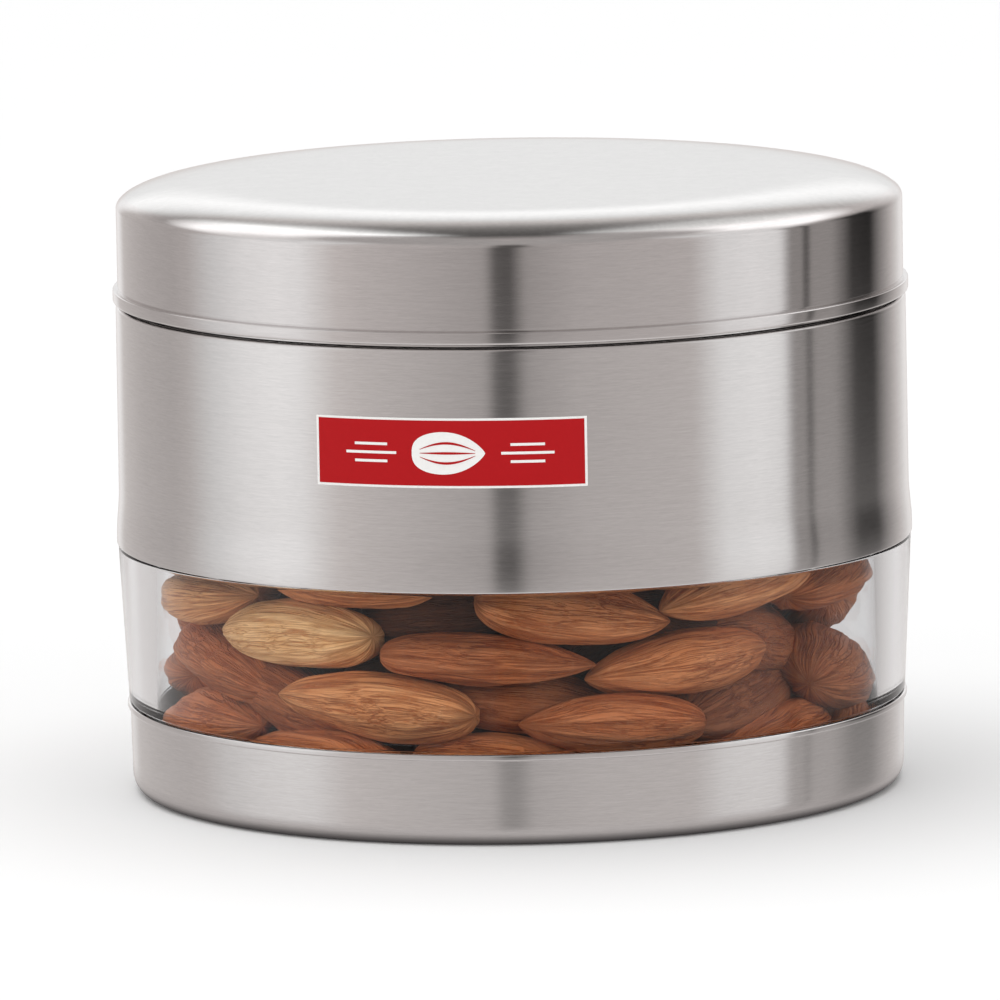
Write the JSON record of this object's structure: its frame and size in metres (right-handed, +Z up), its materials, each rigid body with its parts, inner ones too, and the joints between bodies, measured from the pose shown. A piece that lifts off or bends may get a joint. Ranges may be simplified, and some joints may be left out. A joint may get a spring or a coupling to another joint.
{
  "type": "kitchen canister",
  "caption": "Round low steel canister with a pull-off lid, a clear band that shows the almonds kept inside, and a small red label.",
  "frame": {"origin": "centre of the underside of the base cup, on the surface the canister stands on", "axes": "+Z up along the canister's axis, the label faces -Y and sits left of the middle, +X to the right"},
  "size_m": [0.1048, 0.1048, 0.0806],
  "materials": {
    "brushed_steel": "satin, fine scratches running round the axis",
    "lid_steel": "satin wall with fine scratches round the axis, smoother crowned top",
    "clear_plastic": "clear, polished",
    "red_label": "coated paper sticker with a thin white edge",
    "almond_skin": "dry wrinkled brown skin"
  },
  "bodies": {
    "canister": {"base_cup": "brushed_steel", "clear_jar": "clear_plastic", "upper_sleeve": "brushed_steel", "front_label": "red_label", "almond_core": "almond_skin", "almond_01": "almond_skin", "almond_02": "almond_skin", "almond_03": "almond_skin", "almond_04": "almond_skin", "almond_05": "almond_skin", "almond_06": "almond_skin", "almond_07": "almond_skin", "almond_08": "almond_skin", "almond_09": "almond_skin", "almond_10": "almond_skin", "almond_11": "almond_skin", "almond_12": "almond_skin", "almond_13": "almond_skin", "almond_14": "almond_skin", "almond_15": "almond_skin", "almond_16": "almond_skin", "almond_17": "almond_skin", "almond_18": "almond_skin", "almond_19": "almond_skin", "almond_20": "almond_skin", "almond_21": "almond_skin", "almond_22": "almond_skin", "almond_23": "almond_skin", "almond_24": "almond_skin", "almond_25": "almond_skin", "almond_26": "almond_skin", "almond_27": "almond_skin", "almond_28": "almond_skin", "almond_29": "almond_skin", "almond_30": "almond_skin", "almond_31": "almond_skin", "almond_32": "almond_skin", "almond_33": "almond_skin", "almond_34": "almond_skin", "almond_35": "almond_skin", "almond_36": "almond_skin"},
    "lid": {"lid": "lid_steel"}
  },
  "joints": [
    {"name": "lid_lift", "type": "slide", "parent": "canister", "child": "lid", "axis": [0, 0, 1], "range_m": [0, 0.06]}
  ]
}
